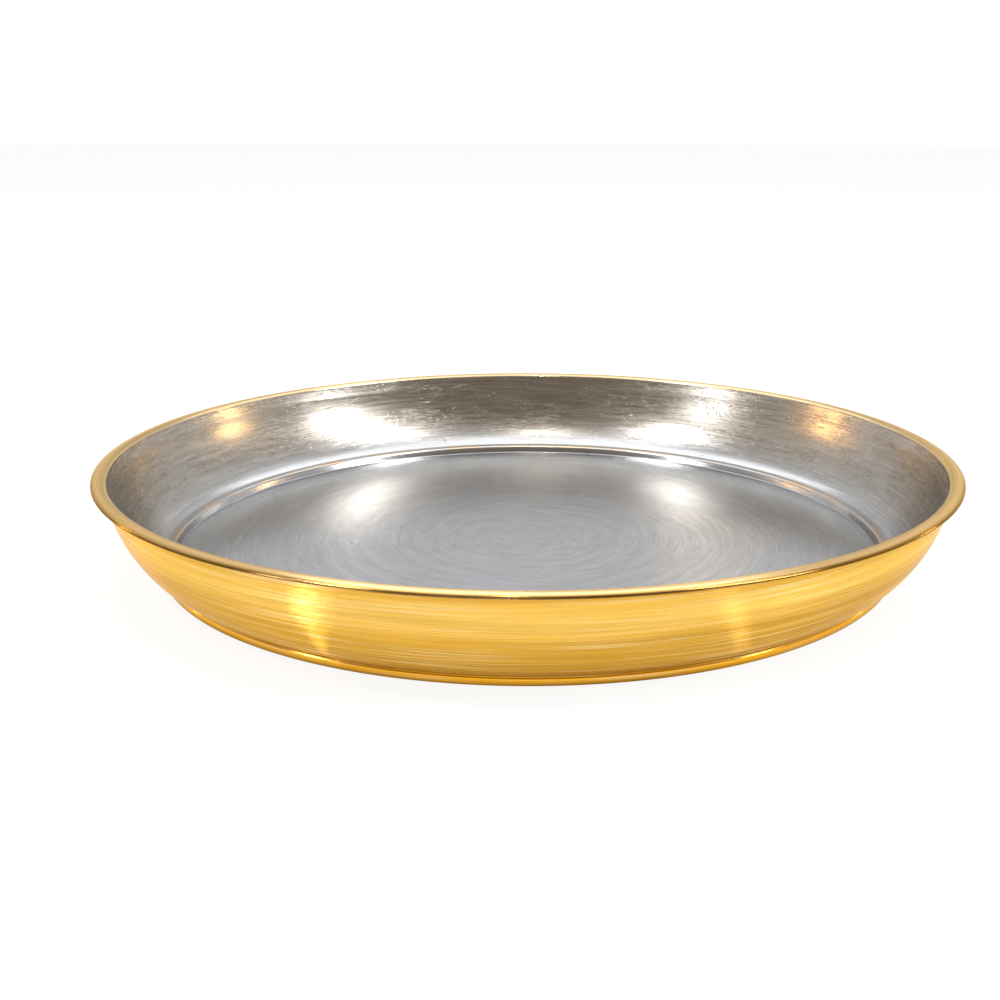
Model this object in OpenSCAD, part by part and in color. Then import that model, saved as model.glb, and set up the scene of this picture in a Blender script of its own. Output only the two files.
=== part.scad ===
// Thali plate: a round brass plate with a low foot, a curved wall and a turned-out lip,
// lined with tin. It stands on the XY plane with its axis on Z. Lengths are in millimetres.

/* [Plate] */
// Diameter across the lip
plate_d = 220; // [180:1:320]
// Height from the standing face to the top of the lip
plate_h = 25; // [18:0.5:45]
// Thickness of the brass in the floor and the wall
sheet_t = 1; // [0.6:0.1:2]

/* [Wall] */
// How far the wall spreads outwards from the foot band to the lip
wall_run = 12.5; // [8:0.1:20]
// Slope of the wall where it leaves the foot, in degrees above level
wall_foot_angle = 22; // [15:1:45]
// Slope of the wall where it meets the lip, in degrees above level
wall_lip_angle = 83; // [72:1:90]
// How far the curve of the wall is pulled along its slope at the foot
wall_foot_pull = 5.5; // [3:0.5:7]
// How far the curve of the wall is pulled along its slope at the lip
wall_lip_pull = 11; // [5:0.5:12]

/* [Lip] */
// How far the lip overhangs the wall
lip_overhang = 2.7; // [1.8:0.1:5]
// Thickness of the lip at its crest
lip_t = 0.9; // [0.8:0.1:2]
// Width of the lip's domed top from its crest to its outer edge
lip_dome_w = 1.9; // [1.2:0.1:2.4]
// Height of the straight outer edge of the lip, under the dome
lip_edge_h = 0.15; // [0.1:0.05:0.4]
// Rounding of the lower corner of the lip's outer edge
lip_edge_round = 0.06; // [0.02:0.01:0.1]
// Rounding of the corner between the wall and the underside of the lip
lip_root_round = 0.4; // [0.2:0.05:0.6]

/* [Foot] */
// Height of the foot band
foot_h = 2.2; // [1.5:0.1:4]
// Depth of the groove between the foot band and the wall
foot_groove = 0.5; // [0.2:0.1:1]
// Rounding of the upper edge of the foot band
foot_top_round = 0.3; // [0.1:0.05:0.5]
// Rounding of the lower edge of the foot band
foot_edge_round = 0.6; // [0.2:0.1:1]

/* [Step in the floor] */
// Width of the shoulder between the wall and the step
shoulder_w = 1.8; // [1:0.1:4]
// Slope of the shoulder, in degrees above level
shoulder_angle = 6; // [4:1:15]
// How far the step runs inwards as it drops to the floor
step_run = 0.8; // [0.5:0.1:4]
// Rounding of the shoulder
shoulder_round = 0.5; // [0.3:0.1:1.5]
// Rounding of the corner between the step and the floor, on the face of the tin
step_round = 0.3; // [0.1:0.05:0.8]

/* [Tin lining] */
// Thickness of the tin lining
tin_t = 0.2; // [0.1:0.05:0.4]
// Clearance between the tin lining and the brass
tin_clearance = 0.3; // [0.1:0.05:0.5]

/* [Hidden] */

// Straight runs along the curve of the wall, each half of the lip's dome and each rounded corner
wall_steps = 24;
dome_steps = 9;
round_steps = 6;
// Sides of the turned solids
$fn = 180;
// The most of a straight run that one rounded corner may use
round_share = 0.48;

brass_colour = "#c8962f";
tin_colour = "#b8b6b0";

plate_r = plate_d / 2;
wall_r = plate_r - lip_overhang;
foot_r = wall_r - wall_run;
lip_under = plate_h - lip_t;

// Plane vectors: [distance from the axis, height]
function unit(v) = v / norm(v);
function heading(angle) = [cos(angle), sin(angle)];
function turned(v, angle) = [v.x * cos(angle) - v.y * sin(angle), v.x * sin(angle) + v.y * cos(angle)];
function reversed(path) = [for (i = [len(path) - 1 : -1 : 0]) path[i]];

// Arc that rounds a corner between two straight runs, and uses no more than its share of each
function rounding(before, corner, after, radius) =
    let (
        back = unit(before - corner),
        ahead = unit(after - corner),
        half_angle = acos(back * ahead) / 2,
        shorter_run = min(norm(before - corner), norm(after - corner)),
        cut = min(radius / tan(half_angle), shorter_run * round_share),
        centre = corner + unit(back + ahead) * cut / cos(half_angle),
        sweep = -sign(cross(back, ahead)) * (180 - 2 * half_angle)
    )
    [for (i = [0 : round_steps])
        centre + turned(corner + back * cut - centre, sweep * i / round_steps)];

// Path through corners, each rounded by its own radius, from the second corner to the last but one
function rounded_path(corners, radii) =
    [for (i = [1 : len(corners) - 2])
        each rounding(corners[i - 1], corners[i], corners[i + 1], radii[i - 1])];

// Point on an oval, by its angle up from the outer side
function oval_at(centre, reach, angle) = centre + [reach.x * cos(angle), reach.y * sin(angle)];

// Cubic curve through a and d, pulled towards b and c, and the direction along it
function curve_at(a, b, c, d, t) =
    let (s = 1 - t) s * s * s * a + 3 * s * s * t * b + 3 * s * t * t * c + t * t * t * d;
function curve_heading(a, b, c, d, t) =
    let (s = 1 - t) unit(s * s * (b - a) + 2 * s * t * (c - b) + t * t * (d - c));

// Path that runs beside another on its left, at a set distance
function path_heading(path, i) = unit(path[min(i + 1, len(path) - 1)] - path[min(i, len(path) - 2)]);
function beside(path, distance) =
    [for (i = [0 : len(path) - 1])
        let (
            ahead = turned(path_heading(path, i), 90),
            behind = turned(path_heading(path, max(i - 1, 0)), 90),
            middle = unit(ahead + behind)
        )
        path[i] + middle * distance / (middle * ahead)];

// Curve of the wall's outer face, from the groove above the foot band to the underside of the lip
wall_foot = [foot_r - foot_groove, foot_h];
wall_top = [wall_r, lip_under];
wall_foot_pole = wall_foot + wall_foot_pull * heading(wall_foot_angle);
wall_top_pole = wall_top - wall_lip_pull * heading(wall_lip_angle);
function outer_wall(t) = curve_at(wall_foot, wall_foot_pole, wall_top_pole, wall_top, t);
function wall_heading(t) = curve_heading(wall_foot, wall_foot_pole, wall_top_pole, wall_top, t);
outer_wall_path = [for (i = [0 : wall_steps - 1]) outer_wall(i / wall_steps)];

// The wall's inner face lies one sheet thickness inside the outer face
function inner_wall(t) = outer_wall(t) + sheet_t * turned(wall_heading(t), 90);
inner_wall_path = [for (i = [0 : wall_steps]) inner_wall(i / wall_steps)];
inner_wall_foot = inner_wall_path[0];
inner_wall_top = inner_wall_path[wall_steps];

// Dome of the lip: one quarter of an oval from the outer edge up to the crest, and one down into the dish
lip_outer_bottom = [plate_r, lip_under];
lip_outer_top = [plate_r, lip_under + lip_edge_h];
lip_crest = [plate_r - lip_dome_w, plate_h];
outer_centre = [lip_crest.x, lip_outer_top.y];
inner_centre = [lip_crest.x, inner_wall_top.y];
outer_reach = [lip_dome_w, plate_h - outer_centre.y];
inner_reach = [lip_crest.x - inner_wall_top.x, plate_h - inner_centre.y];
outer_dome_path = [for (i = [0 : dome_steps]) oval_at(outer_centre, outer_reach, 90 * i / dome_steps)];
inner_dome_path =
    [for (i = [1 : dome_steps - 1]) oval_at(inner_centre, inner_reach, 90 + 90 * i / dome_steps)];

// Corners of the step between the wall and the floor
shoulder = inner_wall_foot - shoulder_w * heading(shoulder_angle);
floor_edge = [shoulder.x - step_run, sheet_t];
floor_middle = [0, sheet_t];
brass_step_round = step_round + tin_t + tin_clearance;

// Inner face of the brass, from the middle of the floor to the top of the wall
inside_path = concat(
    [floor_middle],
    rounded_path([floor_middle, floor_edge, shoulder, inner_wall_foot], [brass_step_round, shoulder_round]),
    inner_wall_path
);
// The back of the tin follows that face and ends where the lip's dome starts
tin_back_path = beside(inside_path, tin_clearance);

// Outer face of the brass, from the middle of the standing face over the lip to the top of the wall inside
foot_path = rounded_path(
    [[0, 0], [foot_r, 0], [foot_r, foot_h - foot_groove], wall_foot],
    [foot_edge_round, foot_top_round]
);
lip_path = concat(
    rounding(outer_wall(1 - 1 / wall_steps), wall_top, lip_outer_bottom, lip_root_round),
    rounding(wall_top, lip_outer_bottom, lip_outer_top, lip_edge_round),
    outer_dome_path,
    inner_dome_path
);

module brass_body() {
    color(brass_colour)
    rotate_extrude()
    polygon(concat([[0, 0]], foot_path, outer_wall_path, lip_path, reversed(inside_path)));
}

module tin_lining() {
    color(tin_colour)
    rotate_extrude()
    polygon(concat(tin_back_path, reversed(beside(tin_back_path, tin_t))));
}

brass_body();
tin_lining();
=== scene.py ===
"""Thali plate: a lathe-brushed brass body lined with wiped tin, on a white studio floor."""
import math

import bmesh
import bpy
from mathutils import Matrix, Vector, noise

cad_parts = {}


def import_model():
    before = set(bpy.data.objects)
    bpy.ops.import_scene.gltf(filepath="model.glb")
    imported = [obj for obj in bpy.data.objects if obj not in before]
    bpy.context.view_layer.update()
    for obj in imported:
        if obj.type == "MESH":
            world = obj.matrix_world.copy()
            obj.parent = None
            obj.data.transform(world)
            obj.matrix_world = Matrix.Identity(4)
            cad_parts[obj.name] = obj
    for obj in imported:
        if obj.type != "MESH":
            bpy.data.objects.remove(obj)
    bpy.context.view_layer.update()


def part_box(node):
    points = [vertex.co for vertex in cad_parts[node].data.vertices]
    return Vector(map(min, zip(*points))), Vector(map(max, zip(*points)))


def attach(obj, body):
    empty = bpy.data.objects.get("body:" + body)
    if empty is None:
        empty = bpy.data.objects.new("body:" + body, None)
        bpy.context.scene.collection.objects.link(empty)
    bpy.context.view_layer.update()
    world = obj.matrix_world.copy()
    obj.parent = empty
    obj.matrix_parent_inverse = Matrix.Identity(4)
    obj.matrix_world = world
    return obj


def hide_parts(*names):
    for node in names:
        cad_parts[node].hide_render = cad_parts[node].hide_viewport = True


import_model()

# Sizes of the plate, in metres
MM = 0.001
brass_low, brass_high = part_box("brass_body")
PLATE_R = min(brass_high.x, brass_high.y, -brass_low.x, -brass_low.y)
PLATE_H = brass_high.z
SHEET = 1.0 * MM
WALL_RUN = 12.5 * MM
WALL_FOOT_ANGLE = 22
WALL_LIP_ANGLE = 83
WALL_FOOT_PULL = 5.5 * MM
WALL_LIP_PULL = 11.0 * MM
LIP_OVERHANG = 2.7 * MM
LIP_T = 0.9 * MM
LIP_DOME_W = 1.9 * MM
LIP_EDGE_H = 0.15 * MM
LIP_EDGE_ROUND = 0.06 * MM
LIP_ROOT_ROUND = 0.4 * MM
FOOT_H = 2.2 * MM
FOOT_GROOVE = 0.5 * MM
FOOT_TOP_ROUND = 0.3 * MM
FOOT_EDGE_ROUND = 0.6 * MM
SHOULDER_W = 1.8 * MM
SHOULDER_ANGLE = 6
STEP_RUN = 0.8 * MM
SHOULDER_ROUND = 0.5 * MM
STEP_ROUND = 0.3 * MM
TIN_T = 0.2 * MM
TIN_CLEARANCE = 0.3 * MM

# How finely the surfaces are divided
SIDES = 288
WALL_STEPS = 72
DOME_STEPS = 16
ROUND_STEPS = 8
FLAT_SPACING = 4.0 * MM
# A point closer to the axis than this lies on it
ON_AXIS = 0.001 * MM


def heading(degrees):
    """Direction in the section: distance from the axis, then height."""
    angle = math.radians(degrees)
    return Vector((math.cos(angle), math.sin(angle)))


def left_of(run):
    return Vector((-run.y, run.x))


def rounding(before, corner, after, radius):
    """Arc that rounds a corner between two straight runs."""
    back = (before - corner).normalized()
    ahead = (after - corner).normalized()
    half = math.acos(back.dot(ahead)) / 2
    cut = radius / math.tan(half)
    centre = corner + (back + ahead).normalized() * cut / math.cos(half)
    sweep = math.copysign(math.pi - 2 * half, -back.cross(ahead))
    start = corner + back * cut - centre
    turns = [Matrix.Rotation(sweep * i / ROUND_STEPS, 2) for i in range(ROUND_STEPS + 1)]
    return [centre + turn @ start for turn in turns]


def rounded_path(corners, radii):
    """Path from the second corner to the last but one, each rounded by its own radius."""
    path = []
    for before, corner, after, radius in zip(corners, corners[1:], corners[2:], radii):
        path += rounding(before, corner, after, radius)
    return path


def oval_at(centre, reach, degrees):
    """Point on an oval, by its angle up from the outer side."""
    towards = heading(degrees)
    return centre + Vector((reach.x * towards.x, reach.y * towards.y))


def cubic(a, b, c, d, t):
    """Point on the cubic curve from a to d that is pulled towards b and c."""
    s = 1 - t
    return s * s * s * a + 3 * s * s * t * b + 3 * s * t * t * c + t * t * t * d


def cubic_heading(a, b, c, d, t):
    """Direction along that curve."""
    s = 1 - t
    return (s * s * (b - a) + 2 * s * t * (c - b) + t * t * (d - c)).normalized()


def beside(path, distance_at):
    """Path that runs beside another on its left, at the distance set for each point."""
    runs = [(after - before).normalized() for before, after in zip(path, path[1:])]
    moved = []
    for point, behind, ahead in zip(path, [runs[0]] + runs, runs + [runs[-1]]):
        middle = (left_of(behind) + left_of(ahead)).normalized()
        moved.append(point + middle * distance_at(point) / middle.dot(left_of(ahead)))
    return moved


def divided(path):
    """The same path with its long straight runs cut into even lengths."""
    points = [path[0]]
    for before, after in zip(path, path[1:]):
        parts = max(1, math.ceil((after - before).length / FLAT_SPACING))
        points += [before.lerp(after, i / parts) for i in range(1, parts + 1)]
    return points


# Section of the wall: its outer face is a curve, and its inner face lies one sheet thickness inside
wall_r = PLATE_R - LIP_OVERHANG
foot_r = wall_r - WALL_RUN
lip_under = PLATE_H - LIP_T
wall_foot = Vector((foot_r - FOOT_GROOVE, FOOT_H))
wall_top = Vector((wall_r, lip_under))
wall_curve = (
    wall_foot,
    wall_foot + WALL_FOOT_PULL * heading(WALL_FOOT_ANGLE),
    wall_top - WALL_LIP_PULL * heading(WALL_LIP_ANGLE),
    wall_top,
)
wall_shares = [i / WALL_STEPS for i in range(WALL_STEPS + 1)]
outer_wall = [cubic(*wall_curve, t) for t in wall_shares]
inwards = [left_of(cubic_heading(*wall_curve, t)) for t in wall_shares]
inner_wall = [point + SHEET * inward for point, inward in zip(outer_wall, inwards)]

# Dome of the lip: one quarter of an oval on each side of its crest
lip_outer_bottom = Vector((PLATE_R, lip_under))
lip_outer_top = Vector((PLATE_R, lip_under + LIP_EDGE_H))
lip_crest = Vector((PLATE_R - LIP_DOME_W, PLATE_H))
outer_centre = Vector((lip_crest.x, lip_outer_top.y))
inner_centre = Vector((lip_crest.x, inner_wall[-1].y))
outer_reach = Vector((LIP_DOME_W, PLATE_H - outer_centre.y))
inner_reach = Vector((lip_crest.x - inner_wall[-1].x, PLATE_H - inner_centre.y))
dome_angles = [90 * i / DOME_STEPS for i in range(DOME_STEPS + 1)]
outer_dome = [oval_at(outer_centre, outer_reach, angle) for angle in dome_angles]
inner_dome = [oval_at(inner_centre, inner_reach, 180 - angle) for angle in dome_angles]

# Inside of the brass: floor, step, shoulder and wall
shoulder = inner_wall[0] - SHOULDER_W * heading(SHOULDER_ANGLE)
floor_edge = Vector((shoulder.x - STEP_RUN, SHEET))
floor_middle = Vector((0, SHEET))
step_path = rounded_path(
    [floor_middle, floor_edge, shoulder, inner_wall[0]],
    [STEP_ROUND + TIN_T + TIN_CLEARANCE, SHOULDER_ROUND],
)
inside_path = [floor_middle] + step_path + inner_wall

# Outside of the brass: foot, wall, underside of the lip and dome
foot_path = rounded_path(
    [Vector((0, 0)), Vector((foot_r, 0)), Vector((foot_r, FOOT_H - FOOT_GROOVE)), wall_foot],
    [FOOT_EDGE_ROUND, FOOT_TOP_ROUND],
)
lip_under_path = rounded_path(
    [outer_wall[-2], wall_top, lip_outer_bottom, lip_outer_top],
    [LIP_ROOT_ROUND, LIP_EDGE_ROUND],
)
lip_path = lip_under_path + outer_dome + inner_dome[-2:0:-1]
brass_path = divided([Vector((0, 0))] + foot_path + outer_wall[:-1] + lip_path + inside_path[::-1])


def turned_piece(name, section_at, marks):
    """Closed solid of revolution whose section may change with the angle.

    Its points carry the length along the section, and each named mark worked out from a point of it.
    """
    angles = [2 * math.pi * side / SIDES for side in range(SIDES)]
    sections = [section_at(angle) for angle in angles]
    mesh = bpy.data.meshes.new(name)
    shape = bmesh.new()
    along = shape.verts.layers.float.new("along")
    layers = {key: shape.verts.layers.float.new(key) for key in marks}
    lengths = [0.0]
    for before, after in zip(sections[0], sections[0][1:]):
        lengths.append(lengths[-1] + (after - before).length)
    columns = []
    for i, length in enumerate(lengths):
        pole = sections[0][i].x < ON_AXIS
        ring = []
        for side in range(1 if pole else SIDES):
            r, z = sections[side][i]
            vert = shape.verts.new((r * math.cos(angles[side]), r * math.sin(angles[side]), z))
            vert[along] = length
            for key, value_at in marks.items():
                vert[layers[key]] = value_at(sections[side][i])
            ring.append(vert)
        columns.append(ring)
    for low, high in zip(columns, columns[1:]):
        for side in range(SIDES):
            after = (side + 1) % SIDES
            bottom = [low[side % len(low)], low[after % len(low)]]
            top = [high[after % len(high)], high[side % len(high)]]
            shape.faces.new(list(dict.fromkeys(bottom + top))).smooth = True
    shape.to_mesh(mesh)
    shape.free()
    piece = bpy.data.objects.new(name, mesh)
    bpy.context.scene.collection.objects.link(piece)
    return piece


# How far tarnish and painted shade on the brass, grime and painted shade in the tin's step, and wear
# spread from where they are strongest
LIP_ROOT_TARNISH_AND_SHADE = 1.5 * MM
EDGE_TARNISH_AND_SHADE = 1.0 * MM
GROOVE_TARNISH_AND_SHADE = 0.8 * MM
STANDING_TARNISH_AND_SHADE = 1.4 * MM
RISER_GRIME_AND_SHADE = 1.1 * MM
STEP_WEAR = 0.8 * MM
# Share of the full tarnish and painted shade at the lip's outer edge and in the groove
PARTIAL_TARNISH_AND_SHADE = 0.9
# Margins that keep the lip and the foot band apart from the wall
BAND_MARGIN = 0.1 * MM
LIP_MARGIN = 0.01 * MM
lip_root = lip_under_path[ROUND_STEPS // 2]


def closeness(point, target, reach):
    """One at the target, and falling smoothly to nothing at the reach."""
    left_over = max(0.0, 1 - (point - target).length / reach)
    return left_over * left_over * (3 - 2 * left_over)


def tarnish_and_shade(point):
    """How much the brass is darkened under the lip, at the lip's outer edge, in the groove and at the
    standing edge: some tarnish, and painted shade, with a painted dark reflection on the lip's edge.
    """
    return max(
        closeness(point, lip_root, LIP_ROOT_TARNISH_AND_SHADE),
        PARTIAL_TARNISH_AND_SHADE * closeness(point, lip_outer_bottom, EDGE_TARNISH_AND_SHADE),
        PARTIAL_TARNISH_AND_SHADE * closeness(point, wall_foot, GROOVE_TARNISH_AND_SHADE),
        closeness(point, Vector((foot_r, 0)), STANDING_TARNISH_AND_SHADE),
    )


def polish(point):
    """One on the top of the lip and on the foot band, and nothing on the wall."""
    return float(point.y > lip_under + BAND_MARGIN or point.y < FOOT_H - BAND_MARGIN)


def brim(point):
    """Share of the way across the top of the lip, from the dish to the outer edge."""
    return min(1.0, max(0.0, (point.x - inner_wall[-1].x) / (PLATE_R - inner_wall[-1].x)))


def on_lip(point):
    """One on the lip, and nothing below it."""
    return float(point.y > lip_under + LIP_MARGIN and point.x > inner_wall[-1].x - BAND_MARGIN)


BRASS_MARKS = {"tarnish_and_shade": tarnish_and_shade, "polish": polish, "brim": brim, "on_lip": on_lip}
brass = turned_piece("brass_plate", lambda angle: brass_path, BRASS_MARKS)

# Wiped tin over the inside: it thins out up the wall and ends low on the lip's dome in an uneven line
TIN_FACE = TIN_T + TIN_CLEARANCE
TIN_EDGE_T = 0.05 * MM
TIN_TAPER = 3.0 * MM
# Shares of the dome's inner half: how far the tin climbs it, and how far that wavers
TIN_EDGE_SHARE = 0.1
TIN_EDGE_WAVER = 0.12
TIN_EDGE_WAVES = 9.0
TIN_EDGE_SEED = 0.3
TIN_EDGE_STEPS = 6


def tin_face_at(point):
    """How far the face of the tin stands off the brass."""
    below_edge = min(1.0, max(0.0, (inner_wall[-1].y - point.y) / TIN_TAPER))
    return TIN_EDGE_T + (TIN_FACE - TIN_EDGE_T) * below_edge


def tin_back_at(point):
    """How far the back of the tin stands off the brass."""
    return tin_face_at(point) * TIN_CLEARANCE / TIN_FACE


tin_face_path = beside(inside_path + inner_dome[1:2], tin_face_at)[:-1]
tin_back_path = beside(inside_path + inner_dome[1:2], tin_back_at)[:-1]


def inner_dome_at(share):
    """Point part of the way up the lip's dome from the dish, and the way out of the brass there."""
    place = share * DOME_STEPS
    i = int(place)
    run = inner_dome[i + 1] - inner_dome[i]
    return inner_dome[i] + run * (place - i), left_of(run).normalized()


def tin_section(angle):
    """Section of the tin at an angle round the plate."""
    wave = noise.noise(Vector((math.cos(angle), math.sin(angle), TIN_EDGE_SEED)) * TIN_EDGE_WAVES)
    reach = TIN_EDGE_SHARE + TIN_EDGE_WAVER * wave
    edge = []
    for i in range(1, TIN_EDGE_STEPS + 1):
        point, outwards = inner_dome_at(reach * i / TIN_EDGE_STEPS)
        edge.append(point + outwards * TIN_EDGE_T)
    return divided(tin_face_path) + edge + divided(tin_back_path[::-1])


def grime_and_shade(point):
    """How much the step of the floor is darkened: grime, and painted shade in the recess."""
    return closeness(point, (floor_edge + shoulder) / 2, RISER_GRIME_AND_SHADE)


def worn(point):
    """How much brass shows through the tin along the edge of the step."""
    return closeness(point, shoulder + Vector((0, TIN_FACE)), STEP_WEAR)


tin = turned_piece("tin_lining_coat", tin_section, {"grime_and_shade": grime_and_shade, "worn": worn})


def add(tree, kind, inputs=None, **settings):
    """New shader node: a socket in inputs is linked, and any other value is set."""
    made = tree.nodes.new(kind)
    for key, value in settings.items():
        setattr(made, key, value)
    for key, value in (inputs or {}).items():
        if isinstance(value, bpy.types.NodeSocket):
            tree.links.new(value, made.inputs[key])
        else:
            made.inputs[key].default_value = value
    return made


def maths(tree, operation, a, b=0.0):
    return add(tree, "ShaderNodeMath", {0: a, 1: b}, operation=operation).outputs[0]


def times(tree, a, b):
    return maths(tree, "MULTIPLY", a, b)


def total(tree, *values):
    """Sum of several values."""
    result = values[0]
    for value in values[1:]:
        result = maths(tree, "ADD", result, value)
    return result


def between(tree, share, a, b):
    """Value between a and b."""
    return add(tree, "ShaderNodeMix", {0: share, 2: a, 3: b}).outputs[0]


def blend(tree, share, a, b):
    """Colour between a and b."""
    return add(tree, "ShaderNodeMix", {0: share, 6: a, 7: b}, data_type="RGBA").outputs[2]


def scaled(tree, colour, value):
    """Colour multiplied by a value."""
    return add(tree, "ShaderNodeVectorMath", {0: colour, 1: value}, operation="MULTIPLY").outputs[0]


def ranged(tree, value, low, high, to_low=0.0, to_high=1.0):
    """Value from low to high spread over to_low to to_high, and held outside them."""
    inputs = {"Value": value, "From Min": low, "From Max": high, "To Min": to_low, "To Max": to_high}
    return add(tree, "ShaderNodeMapRange", inputs).outputs[0]


def tones(tree, value, stops):
    """Colour that follows a value from 0 to 1 through the given stops."""
    ramp = add(tree, "ShaderNodeValToRGB", {0: value})
    while len(ramp.color_ramp.elements) < len(stops):
        ramp.color_ramp.elements.new(0.5)
    for element, (place, colour) in zip(ramp.color_ramp.elements, stops):
        element.position = place
        element.color = (*colour, 1)
    return ramp.outputs[0]


def mark(tree, name):
    """Value that the mesh carries at its points."""
    return add(tree, "ShaderNodeAttribute", attribute_name=name).outputs["Fac"]


def position(tree):
    """Place of the shaded point on its piece."""
    return add(tree, "ShaderNodeTexCoord").outputs["Object"]


def height_above_base(tree):
    return add(tree, "ShaderNodeSeparateXYZ", {0: position(tree)}).outputs[2]


def streaks(tree, pattern):
    """Noise from 0 to 1 that runs round the plate.

    Its pattern is the features to a radian, their width, and the detail and distortion of the noise.
    """
    turns, width, detail, distortion = pattern
    flat = scaled(tree, position(tree), (1, 1, 0))
    round_unit = add(tree, "ShaderNodeVectorMath", {0: flat}, operation="NORMALIZE").outputs[0]
    round_axes = add(tree, "ShaderNodeSeparateXYZ", {0: round_unit}).outputs
    parts = {
        0: times(tree, round_axes[0], turns),
        1: times(tree, round_axes[1], turns),
        2: times(tree, mark(tree, "along"), 1 / width),
    }
    vector = add(tree, "ShaderNodeCombineXYZ", parts).outputs[0]
    inputs = {"Vector": vector, "Scale": 1.0, "Detail": detail, "Distortion": distortion}
    return add(tree, "ShaderNodeTexNoise", inputs).outputs["Fac"]


def threads(tree, value, width):
    """Thin curling lines where a noise crosses its middle."""
    off_middle = maths(tree, "ABSOLUTE", maths(tree, "SUBTRACT", value, 0.5))
    return ranged(tree, off_middle, 0.0, width, 1.0, 0.0)


def metal(name, piece):
    """New metal material on a piece, its node tree and its shader."""
    material = bpy.data.materials.new(name)
    material.use_nodes = True
    tree = material.node_tree
    shader = tree.nodes["Principled BSDF"]
    shader.inputs["Metallic"].default_value = 1.0
    tangent = add(tree, "ShaderNodeTangent", direction_type="RADIAL", axis="Z").outputs[0]
    tree.links.new(tangent, shader.inputs["Tangent"])
    shader.inputs["Anisotropic Rotation"].default_value = SHINE_TURN
    piece.data.materials.append(material)
    return tree, shader


# Most of a noise lies between the first two values, and most of the tin's strokes between the next two
NOISE_RANGE = (0.3, 0.7)
STROKE_RANGE = (0.38, 0.62)
# Quarter turn that sets the shine across the streaks
SHINE_TURN = 0.25

# Brass: tones up the wall by height from the standing face. They are painted shade: darker in the groove,
# low on the wall and under the lip, and lightest high up, for the shadowed floor the wall reflects
WALL_SHADE_TONES = (
    (0.0 * MM, (0.98, 0.46, 0.02)),
    (2.0 * MM, (0.98, 0.46, 0.02)),
    (2.8 * MM, (0.50, 0.26, 0.02)),
    (7.0 * MM, (0.66, 0.35, 0.03)),
    (13.0 * MM, (0.79, 0.44, 0.055)),
    (18.0 * MM, (1.0, 0.62, 0.12)),
    (21.5 * MM, (0.92, 0.54, 0.085)),
    (24.0 * MM, (0.78, 0.37, 0.03)),
)
# Brass: tones across the lip by share of the way from the dish to the outer edge. The pale inner part is a
# thin wash of tin and a painted highlight, and the dark outer edge is a painted reflection of the dim room
LIP_HIGHLIGHT_AND_SHADE_TONES = (
    (0.0, (0.95, 0.74, 0.48)),
    (0.25, (0.92, 0.68, 0.38)),
    (0.5, (0.88, 0.61, 0.30)),
    (0.75, (0.86, 0.58, 0.29)),
    (0.9, (0.60, 0.35, 0.10)),
    (1.0, (0.36, 0.18, 0.03)),
)
BRASS_PALE = (1.0, 0.80, 0.42, 1)
# Colour of the tarnish and painted shade in the corners and on the lip's edge
BRASS_TARNISH_AND_SHADE = (0.13, 0.062, 0.014, 1)
BRASS_EDGE_TINT = (0.94, 0.80, 0.56, 1)
# Brass: patterns of its lathe streaks
BRASS_BANDS = (1.2, 2.6 * MM, 1.0, 0.0)
BRASS_LINES = (3.0, 0.5 * MM, 2.0, 0.0)
BRASS_HAIRS = (7.0, 0.14 * MM, 2.0, 0.0)
BRASS_GRAIN = (60.0, 0.3 * MM, 2.0, 0.0)
# Brass: how much the streaks lighten it, how pale the brightest of them are, and how deep they are cut
BAND_GAIN = (0.9, 1.14)
LINE_GAIN = (-0.1, 0.08)
PALE_HAIRS = (0.55, 0.75, 0.0, 0.4)
PALE_LINES = (0.52, 0.72, 0.0, 0.5)
# How much the bands vary the tarnish and painted shade
BAND_TARNISH_AND_SHADE = (1.0, 0.8)
LINE_DEPTH = 0.15 * MM
HAIR_DEPTH = 0.07 * MM
GRAIN_DEPTH = 0.035 * MM
POLISHED_DEPTH_SHARE = 0.08
BRUSHED_ROUGHNESS = (0.2, 0.27)
POLISHED_ROUGHNESS = (0.17, 0.25)
BRASS_ANISOTROPY = 1.0


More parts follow.
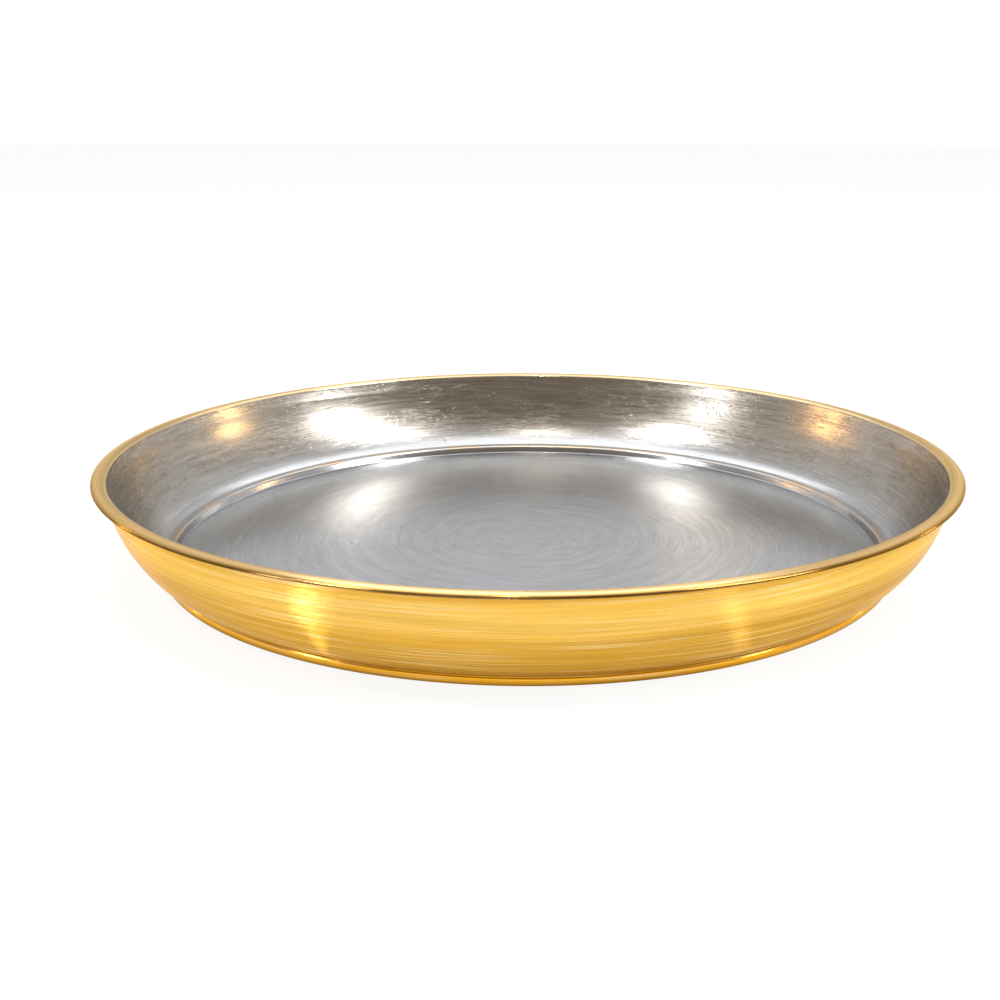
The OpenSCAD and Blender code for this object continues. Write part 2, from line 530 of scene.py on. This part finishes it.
def brass_material():
    """Lathe-brushed brass: streaks round the wall, a polished lip and foot, painted shade up the wall, a
    painted highlight and shade across the lip, and tarnish with painted shade in the corners and on the
    lip's edge.
    """
    tree, shader = metal("brushed_brass", brass)
    bands = streaks(tree, BRASS_BANDS)
    lines = streaks(tree, BRASS_LINES)
    hairs = streaks(tree, BRASS_HAIRS)
    grain = streaks(tree, BRASS_GRAIN)

    height_share = maths(tree, "DIVIDE", height_above_base(tree), PLATE_H)
    # Painted shade up the wall
    wall_shade = tones(tree, height_share, [(height / PLATE_H, colour) for height, colour in WALL_SHADE_TONES])
    # Painted highlight and painted shade across the lip
    lip_highlight_and_shade = tones(tree, mark(tree, "brim"), LIP_HIGHLIGHT_AND_SHADE_TONES)
    band_gain = ranged(tree, bands, *NOISE_RANGE, *BAND_GAIN)
    line_gain = ranged(tree, lines, *NOISE_RANGE, *LINE_GAIN)
    clean_with_painted_shade = scaled(tree, blend(tree, mark(tree, "on_lip"), wall_shade, lip_highlight_and_shade), total(tree, band_gain, line_gain))
    pale = maths(tree, "MAXIMUM", ranged(tree, hairs, *PALE_HAIRS), ranged(tree, lines, *PALE_LINES))
    clean_with_painted_shade = blend(tree, pale, clean_with_painted_shade, BRASS_PALE)
    # Tarnish and painted shade under the lip, on its edge, in the groove and at the standing edge
    tarnish_and_shade_share = times(tree, mark(tree, "tarnish_and_shade"), ranged(tree, bands, *NOISE_RANGE, *BAND_TARNISH_AND_SHADE))
    tree.links.new(blend(tree, tarnish_and_shade_share, clean_with_painted_shade, BRASS_TARNISH_AND_SHADE), shader.inputs["Base Color"])

    brushed = ranged(tree, lines, *NOISE_RANGE, *BRUSHED_ROUGHNESS)
    polished = ranged(tree, lines, *NOISE_RANGE, *POLISHED_ROUGHNESS)
    tree.links.new(between(tree, mark(tree, "polish"), brushed, polished), shader.inputs["Roughness"])
    shader.inputs["Anisotropic"].default_value = BRASS_ANISOTROPY
    shader.inputs["Specular Tint"].default_value = BRASS_EDGE_TINT

    depth = total(
        tree,
        times(tree, lines, LINE_DEPTH),
        times(tree, hairs, HAIR_DEPTH),
        times(tree, grain, GRAIN_DEPTH),
    )
    height = times(tree, depth, between(tree, mark(tree, "polish"), 1.0, POLISHED_DEPTH_SHARE))
    bump = add(tree, "ShaderNodeBump", {"Height": height, "Strength": 1.0, "Distance": 1.0})
    tree.links.new(bump.outputs[0], shader.inputs["Normal"])


# Tin: it turns from the floor's finish and tones to the wall's between these heights. The floor's cool
# tones are partly a painted reflection of the cool bright back, and the wall's darker, warmer tones partly
# painted shade for the dim brown room it reflects
WALL_FINISH_AND_SHADE = (3.0 * MM, 9.0 * MM)
TIN_FLOOR_TONES_AND_SHEEN = ((0.47, 0.475, 0.49, 1), (0.515, 0.525, 0.545, 1))
TIN_WALL_TONES_AND_SHADE = ((0.355, 0.325, 0.282, 1), (0.48, 0.455, 0.42, 1))
WORN_BRASS = (0.8, 0.52, 0.2, 1)
# Colour of the grime in the pits, and of the grime and painted shade in the step
TIN_GRIME_AND_SHADE = (0.1, 0.085, 0.07, 1)
TIN_EDGE_TINT = (0.9, 0.9, 0.9, 1)
# Tin: patterns of its streaks, wiped strokes, patches and curled scratches
TIN_BANDS = (2.0, 2.5 * MM, 2.0, 0.0)
TIN_LINES = (6.0, 0.45 * MM, 2.0, 0.0)
TIN_HAIRS = (16.0, 0.18 * MM, 2.0, 0.0)
TIN_SMEARS = (4.0, 0.35 * MM, 3.0, 0.3)
TIN_WIPES = (10.0, 1.1 * MM, 4.0, 0.8)
TIN_PATCHES = (7.0, 9.0 * MM, 3.0, 0.6)
TIN_CURLS = (20.0, 1.8 * MM, 1.0, 2.0)
WIPES_SHARE = 0.4
TIN_BAND_RANGE = (0.35, 0.65)
FLOOR_STROKE_GAIN = (0.9, 1.08)
# Tin: where the patches let the wear and the curls show, and how much
WEAR_IN_PATCHES = (0.4, 0.6, 0.0, 0.7)
CURLS_IN_PATCHES = (0.42, 0.52)
CURL_WIDTH = 0.045
CURL_GAIN = 0.72
PIT_SPACING = 9.0 * MM
PIT_EDGE = (0.025, 0.05)
# Share of that colour in the pits and in the step
GRIME_AND_SHADE_SHARE = 0.7
FLOOR_ROUGHNESS = (0.2, 0.25)
WALL_ROUGHNESS = (0.24, 0.3)
TIN_ANISOTROPY = 0.3
# Tin: heights of its marks as shares of the relief
LINE_HEIGHT = 0.45
HAIR_HEIGHT = 0.3
WIPE_HEIGHT = 0.7
TIN_RELIEF = 0.05 * MM
TIN_RELIEF_STRENGTH = 0.45


def tin_material():
    """Hand-wiped tin: smooth and cool on the floor, and streaked, scratched, darker and warmer up the
    wall; the cool floor is partly a painted reflection and the dark warm wall partly painted shade.
    """
    tree, shader = metal("wiped_tin", tin)
    up_wall = ranged(tree, height_above_base(tree), *WALL_FINISH_AND_SHADE)
    bands = streaks(tree, TIN_BANDS)
    lines = streaks(tree, TIN_LINES)
    hairs = streaks(tree, TIN_HAIRS)
    smears = streaks(tree, TIN_SMEARS)
    wipes = streaks(tree, TIN_WIPES)
    strokes = between(tree, WIPES_SHARE, smears, wipes)
    patches = streaks(tree, TIN_PATCHES)
    curls = threads(tree, streaks(tree, TIN_CURLS), CURL_WIDTH)
    curls = times(tree, curls, ranged(tree, patches, *CURLS_IN_PATCHES))
    curls = times(tree, curls, up_wall)
    spots = add(tree, "ShaderNodeTexVoronoi", {"Vector": position(tree), "Scale": 1 / PIT_SPACING})
    pits = ranged(tree, spots.outputs["Distance"], *PIT_EDGE, 1.0, 0.0)

    # Cool floor tones partly a painted reflection, and dark warm wall tones partly painted shade
    floor_tone_and_sheen = blend(tree, ranged(tree, bands, *TIN_BAND_RANGE), *TIN_FLOOR_TONES_AND_SHEEN)
    floor_tone_and_sheen = scaled(tree, floor_tone_and_sheen, ranged(tree, strokes, *STROKE_RANGE, *FLOOR_STROKE_GAIN))
    wall_tone_and_shade = blend(tree, ranged(tree, strokes, *STROKE_RANGE), *TIN_WALL_TONES_AND_SHADE)
    wiped_and_shaded = blend(tree, up_wall, floor_tone_and_sheen, wall_tone_and_shade)
    wiped_and_shaded = scaled(tree, wiped_and_shaded, between(tree, curls, 1.0, CURL_GAIN))
    wear = times(tree, mark(tree, "worn"), ranged(tree, patches, *WEAR_IN_PATCHES))
    wiped_and_shaded = blend(tree, wear, wiped_and_shaded, WORN_BRASS)
    # Grime in the pits, and grime with painted shade in the step's riser
    dirt_and_shade = times(tree, maths(tree, "MAXIMUM", pits, mark(tree, "grime_and_shade")), GRIME_AND_SHADE_SHARE)
    tree.links.new(blend(tree, dirt_and_shade, wiped_and_shaded, TIN_GRIME_AND_SHADE), shader.inputs["Base Color"])

    floor_sheen = ranged(tree, lines, *NOISE_RANGE, *FLOOR_ROUGHNESS)
    wall_sheen = ranged(tree, strokes, *STROKE_RANGE, *WALL_ROUGHNESS)
    tree.links.new(between(tree, up_wall, floor_sheen, wall_sheen), shader.inputs["Roughness"])
    shader.inputs["Anisotropic"].default_value = TIN_ANISOTROPY
    shader.inputs["Specular Tint"].default_value = TIN_EDGE_TINT

    raised = total(
        tree,
        times(tree, lines, LINE_HEIGHT),
        times(tree, hairs, HAIR_HEIGHT),
        times(tree, times(tree, wipes, WIPE_HEIGHT), up_wall),
    )
    height = maths(tree, "SUBTRACT", raised, total(tree, curls, pits))
    relief = {"Height": height, "Strength": TIN_RELIEF_STRENGTH, "Distance": TIN_RELIEF}
    bump = add(tree, "ShaderNodeBump", relief)
    tree.links.new(bump.outputs[0], shader.inputs["Normal"])


brass_material()
tin_material()
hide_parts("brass_body")
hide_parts("tin_lining")
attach(brass, "root")
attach(tin, "root")

# Camera: it looks at the middle of the rim, and the frame is shifted to the photograph's framing
FRAME_PX = 1000
CAMERA_ELEVATION = 14.0
CAMERA_DISTANCE = 349.0 * MM
CAMERA_ROLL = 0.1
RIM_CENTRE_PX = (528.0, 449.7)
RIM_PX_PER_MM = 3.794
SENSOR = 36.0
NEAREST_SEEN = 10.0 * MM


def direction(azimuth, elevation):
    """Direction from the plate. Azimuth is counted from the camera's side towards +X."""
    a = math.radians(azimuth)
    e = math.radians(elevation)
    return Vector((math.sin(a) * math.cos(e), -math.cos(a) * math.cos(e), math.sin(e)))


rim_centre = Vector((0, 0, PLATE_H))
to_camera = direction(0, CAMERA_ELEVATION)
lens_data = bpy.data.cameras.new("camera")
lens_data.sensor_width = SENSOR
lens_data.lens = SENSOR * RIM_PX_PER_MM * CAMERA_DISTANCE / MM / FRAME_PX
lens_data.shift_x = 0.5 - RIM_CENTRE_PX[0] / FRAME_PX
lens_data.shift_y = RIM_CENTRE_PX[1] / FRAME_PX - 0.5
lens_data.clip_start = NEAREST_SEEN
camera = bpy.data.objects.new("camera", lens_data)
camera.location = rim_centre + to_camera * CAMERA_DISTANCE
look = (-to_camera).to_track_quat("-Z", "Y").to_matrix()
camera.rotation_euler = (look @ Matrix.Rotation(math.radians(CAMERA_ROLL), 3, "Z")).to_euler()
bpy.context.scene.collection.objects.link(camera)
bpy.context.scene.camera = camera

# Studio floor: its own grey, which takes the shadow, and the glow that makes it white
FLOOR_RADIUS = 6.0
FLOOR_SIDES = 96
FLOOR_GREY = (0.14, 0.14, 0.14, 1)
FLOOR_GLOW = 0.89


def seen(tree):
    """One for a ray that shows the background: from the camera, a reflection or a refraction."""
    rays = add(tree, "ShaderNodeLightPath").outputs
    shown = maths(tree, "MAXIMUM", rays["Is Camera Ray"], rays["Is Glossy Ray"])
    return maths(tree, "MAXIMUM", shown, rays["Is Transmission Ray"])


def floor():
    """White floor that keeps the plate's shadow."""
    shape = bmesh.new()
    bmesh.ops.create_circle(shape, cap_ends=True, segments=FLOOR_SIDES, radius=FLOOR_RADIUS)
    mesh = bpy.data.meshes.new("studio_floor")
    shape.to_mesh(mesh)
    shape.free()
    made = bpy.data.objects.new("studio_floor", mesh)
    bpy.context.scene.collection.objects.link(made)
    material = bpy.data.materials.new("studio_white")
    material.use_nodes = True
    tree = material.node_tree
    tree.nodes.remove(tree.nodes["Principled BSDF"])
    matt = add(tree, "ShaderNodeBsdfDiffuse", {"Color": FLOOR_GREY})
    strength = times(tree, seen(tree), FLOOR_GLOW)
    glow = add(tree, "ShaderNodeEmission", {"Color": (1, 1, 1, 1), "Strength": strength})
    both = add(tree, "ShaderNodeAddShader", {0: matt.outputs[0], 1: glow.outputs[0]})
    tree.links.new(both.outputs[0], tree.nodes["Material Output"].inputs["Surface"])
    mesh.materials.append(material)


# Room: its light by direction, from the unit vector's depth (y) and height (z)
ROOM_FRONT = (0.28, 0.235, 0.185, 1)
ROOM_BACK = (0.8, 0.8, 0.8, 1)
ROOM_TOP = (0.65, 0.65, 0.65, 1)
ROOM_WHITE = (1, 1, 1, 1)
FRONT_TO_BACK = (-0.35, 0.4)
WHITE_TO_ROOM = (0.087, 0.11)
TOP_FALL_OFF = 10.0


def world():
    """Studio with a white sweep low down all round, dim on the camera's side and bright at the back."""
    made = bpy.data.worlds.new("studio")
    made.use_nodes = True
    bpy.context.scene.world = made
    tree = made.node_tree
    towards = add(tree, "ShaderNodeTexCoord").outputs["Generated"]
    axes = add(tree, "ShaderNodeSeparateXYZ", {0: towards}).outputs
    sides = blend(tree, ranged(tree, axes[1], *FRONT_TO_BACK), ROOM_FRONT, ROOM_BACK)
    overhead = maths(tree, "POWER", ranged(tree, axes[2], 0.0, 1.0), TOP_FALL_OFF)
    room = blend(tree, overhead, sides, ROOM_TOP)
    colour = blend(tree, ranged(tree, axes[2], *WHITE_TO_ROOM), ROOM_WHITE, room)
    tree.links.new(colour, tree.nodes["Background"].inputs["Color"])


# Lamps: angles in degrees, lengths in metres
WHITE = (1.0, 1.0, 1.0)
COOL_WHITE = (0.95, 0.975, 1.0)
STRIP_WHITE = (0.95, 0.84, 1.0)
SPOT_WHITE = (1.0, 0.93, 0.8)
BULB_AMBER = (1.0, 0.52, 0.15)
BULB_GOLD = (1.0, 0.64, 0.27)
BACK_GOLD = (1.0, 0.72, 0.4)
SOFTBOX_AWAY = 2.0
BULB_AWAY = 0.9
BULB_SIZE = (0.09, 0.09)
STRIP_LIFT = 0.2 * MM
STRIP_LEFT_TURN = -50.4
STRIP_LEFT_SIZE = (2.5 * MM, 18.0 * MM)
STRIP_RIGHT_TURN = 25.7
STRIP_RIGHT_SIZE = (4.5 * MM, 31.0 * MM)


def area_light(name, size, radiance, colour):
    """Lamp with a flat face that shines with an even radiance."""
    data = bpy.data.lights.new(name, "AREA")
    data.shape = "RECTANGLE"
    data.size, data.size_y = size
    data.energy = radiance * math.pi * size[0] * size[1]
    data.color = colour
    made = bpy.data.objects.new(name, data)
    bpy.context.scene.collection.objects.link(made)
    return made


def lamp(name, azimuth, elevation, distance, size, radiance, colour):
    """Lamp that faces the middle of the rim."""
    towards = direction(azimuth, elevation)
    made = area_light(name, size, radiance, colour)
    made.location = rim_centre + towards * distance
    made.rotation_euler = towards.to_track_quat("Z", "Y").to_euler()


def floor_strip(name, x, y, turn, size, radiance):
    """Strip lamp that lies on the floor and faces up, for a streak on the wall of the plate."""
    made = area_light(name, size, radiance, STRIP_WHITE)
    made.location = (x, y, STRIP_LIFT)
    made.rotation_euler = (math.pi, 0, math.radians(turn))


floor()
world()

# Each lamp by its name, azimuth, elevation, distance, size, radiance and colour,
# and each strip by its name, place, turn, size and radiance
lamp("softbox_left", -65, 24, SOFTBOX_AWAY, (0.24, 0.7), 13.0, WHITE)
lamp("softbox_left_high", -71, 56, SOFTBOX_AWAY, (0.28, 0.5), 27.0, WHITE)
lamp("softbox_right", 72, 43.5, SOFTBOX_AWAY, (0.28, 1.5), 20.0, WHITE)
floor_strip("strip_left_near", -50.5 * MM, -94.5 * MM, STRIP_LEFT_TURN, STRIP_LEFT_SIZE, 1.4)
floor_strip("strip_left_far", -64.3 * MM, -105.9 * MM, STRIP_LEFT_TURN, STRIP_LEFT_SIZE, 9.0)
floor_strip("strip_right", 53.5 * MM, -102.0 * MM, STRIP_RIGHT_TURN, STRIP_RIGHT_SIZE, 0.7)
lamp("bulb_left", -111, 11, BULB_AWAY, BULB_SIZE, 30.0, BULB_AMBER)
lamp("bulb_right", 111, 13, BULB_AWAY, BULB_SIZE, 24.0, BULB_GOLD)
lamp("warm_back", 169, 18.5, 1.0, (0.09, 0.12), 0.5, BACK_GOLD)
lamp("back_light", 180, 65, 1.1, (0.8, 1.12), 1.6, COOL_WHITE)
lamp("ceiling_spot", -15, 80, 0.8, (0.03, 0.03), 150.0, SPOT_WHITE)

bpy.context.scene.view_settings.view_transform = "Standard"
